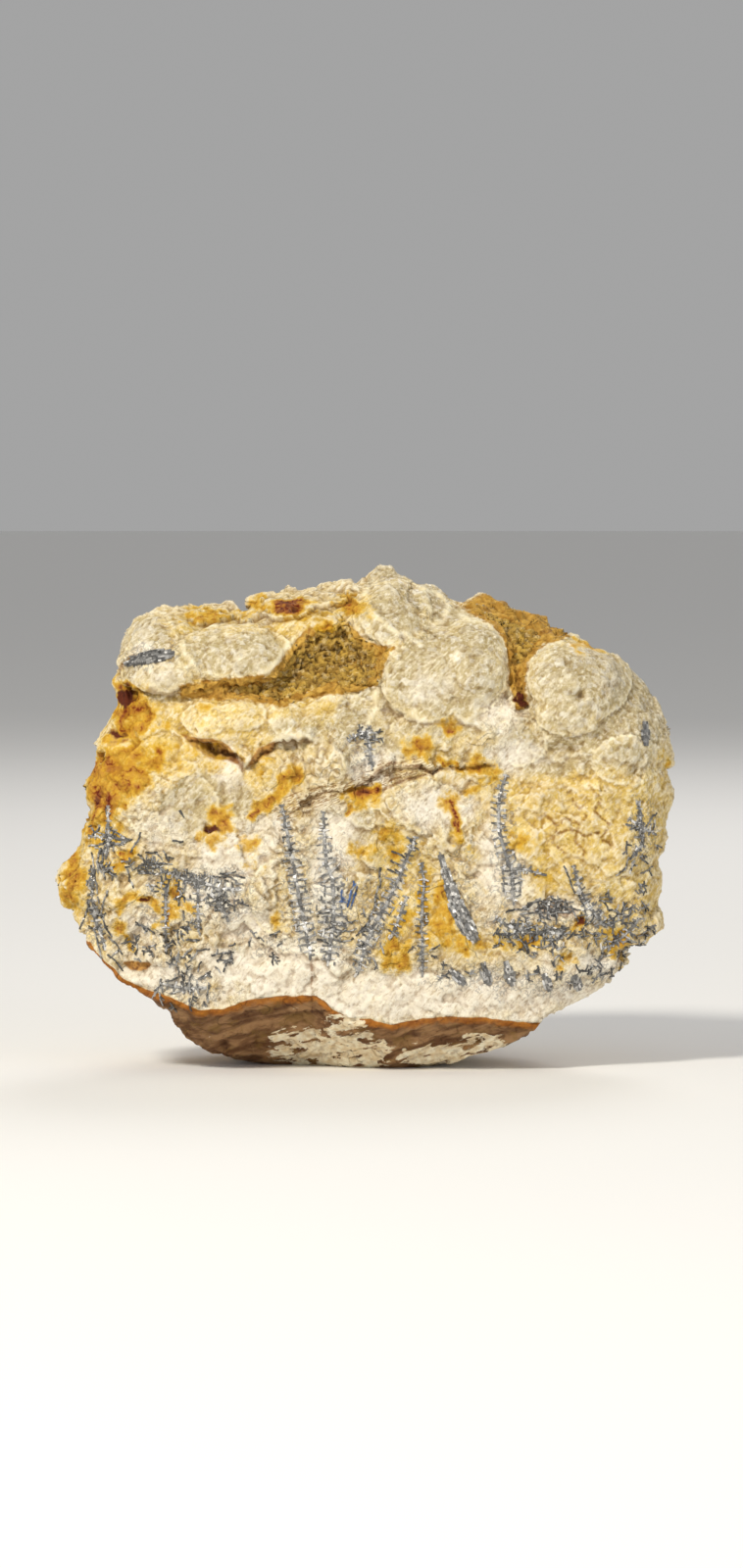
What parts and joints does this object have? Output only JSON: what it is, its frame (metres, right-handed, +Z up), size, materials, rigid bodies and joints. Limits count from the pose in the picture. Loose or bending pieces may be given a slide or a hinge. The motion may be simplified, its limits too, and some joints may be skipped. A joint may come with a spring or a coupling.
{
  "type": "galena specimen",
  "caption": "Broken hand specimen of cream rock with grey galena feathers grown in its face, ochre hollows and an undercut brown break; stands on a flat base",
  "frame": {"origin": "middle of the specimen's length and depth, on the plane of the flat break that it rests on", "axes": "+X along the specimen, to the right seen from the show face; +Y into the specimen, away from the show face; +Z up"},
  "size_m": [0.126, 0.0626, 0.1026],
  "materials": {
    "matrix": "rough crystalline break, cream to white with ochre, rust and yellow stains",
    "galena": "bright lead-grey metallic crystals with a granular break",
    "crust": "rough ochre crystal crust"
  },
  "bodies": {
    "root": {"matrix_rock": "matrix", "galena_feather_tall_left": "galena", "galena_feather_hatched": "galena", "galena_feather_leaning": "galena", "galena_feather_short": "galena", "galena_feather_slim": "galena", "galena_spear": "galena", "galena_feather_tall_right": "galena", "galena_feather_low_right": "galena", "galena_star": "galena", "galena_tee": "galena", "galena_thicket_left": "galena", "galena_reed_left": "galena", "galena_branch_left": "galena", "galena_feather_left_edge": "galena", "galena_patch_low_left": "galena", "galena_streaks_middle_right": "galena", "galena_patch_low_right": "galena", "galena_blade_top_left": "galena", "galena_blade_right": "galena", "galena_tuft_1": "galena", "galena_tuft_2": "galena", "galena_tuft_3": "galena", "galena_tuft_4": "galena", "galena_tuft_5": "galena", "crust_large_hollow": "crust", "crust_right_hollow": "crust"}
  },
  "joints": []
}
